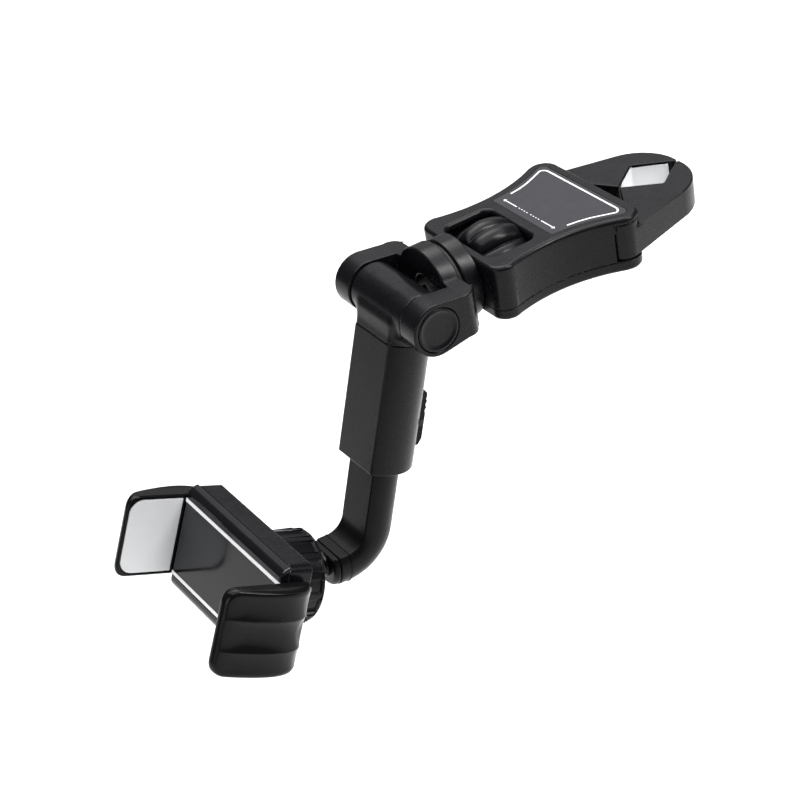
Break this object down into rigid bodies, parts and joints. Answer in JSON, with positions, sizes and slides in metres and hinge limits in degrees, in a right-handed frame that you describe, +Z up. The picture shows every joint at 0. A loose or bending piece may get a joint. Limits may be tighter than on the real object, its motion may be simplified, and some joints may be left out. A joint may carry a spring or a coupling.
{
  "type": "car phone mount",
  "caption": "Clip-on car phone mount: screw-driven jaws, thumbwheel, swivel fork, telescopic bent arm, ball joint and spring cradle with two sliding clamp arms.",
  "frame": {"origin": "centre of the closed jaws' diamond opening, at half the thickness of the clip body", "axes": "+X from the clip body out through the jaws' noses, +Z up through the diamond opening and out of the label face, +Y across to the left jaw"},
  "size_m": [0.1996, 0.0728, 0.1001],
  "materials": {
    "black_plastic": "satin",
    "gloss_black": "gloss",
    "label_grey": "satin",
    "grey_rubber": "matte",
    "black_rubber": "matte",
    "steel": "satin",
    "brass": "satin",
    "nylon": "satin",
    "silver_trim": "gloss"
  },
  "bodies": {
    "clip": {"top_cover": "black_plastic", "bottom_cover": "black_plastic", "label_plate": "label_grey", "pivot_screws": "steel", "cover_screws": "steel", "swivel_neck": "black_plastic", "swivel_bolt": "steel", "swivel_nut": "steel", "spring_washer": "steel", "swivel_ring": "black_rubber"},
    "wheel": {"thumbwheel": "gloss_black", "wheel_insert": "brass"},
    "screw_slide": {"lead_screw": "steel", "crosshead": "black_plastic"},
    "left_jaw": {"jaw_left": "black_plastic", "jaw_pad_left": "grey_rubber", "drive_pin_left": "steel"},
    "right_jaw": {"jaw_right": "black_plastic", "jaw_pad_right": "grey_rubber", "drive_pin_right": "steel"},
    "fork": {"yoke": "black_plastic", "hinge_bolt": "steel", "hinge_nut": "steel", "hinge_cap_left": "black_plastic", "hinge_cap_right": "black_plastic", "hinge_washers": "nylon"},
    "upper_arm": {"arm_head": "black_plastic", "head_screw": "steel", "sleeve": "black_plastic", "lever_pin": "steel"},
    "lever": {"lock_lever": "black_plastic", "brake_pad": "black_rubber", "lever_spring": "steel"},
    "lower_arm": {"slide_arm": "black_plastic", "arm_end_plug": "nylon", "end_collar": "black_plastic", "ball_stud": "steel"},
    "liner": {"ball_liner": "nylon"},
    "cup": {"socket_cup": "black_plastic"},
    "cradle": {"back_cover": "black_plastic", "front_cover": "gloss_black", "trim_strips": "silver_trim", "cradle_screws": "steel", "return_springs": "steel"},
    "nut": {"ring_nut": "black_plastic"},
    "left_clamp": {"clamp_arm_left": "black_plastic", "clamp_pad_left": "grey_rubber"},
    "right_clamp": {"clamp_arm_right": "black_plastic", "clamp_pad_right": "grey_rubber"},
    "pinion": {"sync_pinion": "nylon"}
  },
  "joints": [
    {"name": "wheel_turn", "type": "hinge", "parent": "clip", "child": "wheel", "pos_m": [-0.0588, 0, 0], "axis": [1, 0, 0], "range_deg": [0, 1511.21]},
    {"name": "crosshead_travel", "type": "slide", "parent": "clip", "child": "screw_slide", "axis": [1, 0, 0], "range_m": [0, 0.0042]},
    {"name": "left_jaw_swing", "type": "hinge", "parent": "clip", "child": "left_jaw", "pos_m": [-0.0249, 0.0192, 0], "axis": [0, 0, 1], "range_deg": [0, 22.01]},
    {"name": "right_jaw_swing", "type": "hinge", "parent": "clip", "child": "right_jaw", "pos_m": [-0.0249, -0.0192, 0], "axis": [0, 0, -1], "range_deg": [0, 22.01]},
    {"name": "neck_swivel", "type": "hinge", "parent": "clip", "child": "fork", "pos_m": [-0.0768, 0, 0], "axis": [1, 0, 0], "continuous": true},
    {"name": "fork_hinge", "type": "hinge", "parent": "fork", "child": "upper_arm", "pos_m": [-0.0925, 0, 0], "axis": [0, 1, 0], "range_deg": [-7, 155]},
    {"name": "lever_press", "type": "hinge", "parent": "upper_arm", "child": "lever", "pos_m": [-0.09508, 0, -0.03832], "axis": [0, -1, 0], "range_deg": [0, 4], "stiffness_Nm_per_rad": 0.5, "springref_deg": -20.05},
    {"name": "arm_slide", "type": "slide", "parent": "upper_arm", "child": "lower_arm", "axis": [-0.3322, 0, -0.9432], "range_m": [-0.01, 0.013]},
    {"name": "ball_yaw", "type": "hinge", "parent": "lower_arm", "child": "liner", "pos_m": [-0.14367, 0, -0.07277], "axis": [0.0854, 0, 0.9963], "range_deg": [-20, 20]},
    {"name": "ball_pitch", "type": "hinge", "parent": "liner", "child": "cup", "pos_m": [-0.14367, 0, -0.07277], "axis": [0, 1, 0], "range_deg": [-46, 6]},
    {"name": "cradle_turn", "type": "hinge", "parent": "cup", "child": "cradle", "pos_m": [-0.14367, 0, -0.07277], "axis": [-0.9056, 0, 0.4242], "continuous": true},
    {"name": "nut_turn", "type": "hinge", "parent": "cradle", "child": "nut", "pos_m": [-0.14367, 0, -0.07277], "axis": [0.9056, 0, -0.4242], "range_deg": [-360, 90]},
    {"name": "left_clamp_slide", "type": "slide", "parent": "cradle", "child": "left_clamp", "axis": [0, 1, 0], "range_m": [0, 0.016], "stiffness_N_per_m": 250, "springref_m": -0.01, "deforming": ["return_springs"]},
    {"name": "right_clamp_slide", "type": "slide", "parent": "cradle", "child": "right_clamp", "axis": [0, -1, 0], "range_m": [0, 0.01601]},
    {"name": "pinion_spin", "type": "hinge", "parent": "cradle", "child": "pinion", "pos_m": [-0.15819, 0, -0.06498], "axis": [-0.9056, 0, 0.4242], "range_deg": [0, 183.45]}
  ],
  "couplings": [
    {"joint": "crosshead_travel", "follows": "wheel_turn", "m_per_rad": 0.00015915},
    {"joint": "left_jaw_swing", "follows": "wheel_turn", "ratio": 0.014558},
    {"joint": "right_jaw_swing", "follows": "wheel_turn", "ratio": 0.014558},
    {"joint": "right_clamp_slide", "follows": "left_clamp_slide", "ratio": 1},
    {"joint": "pinion_spin", "follows": "left_clamp_slide", "rad_per_m": 200}
  ]
}
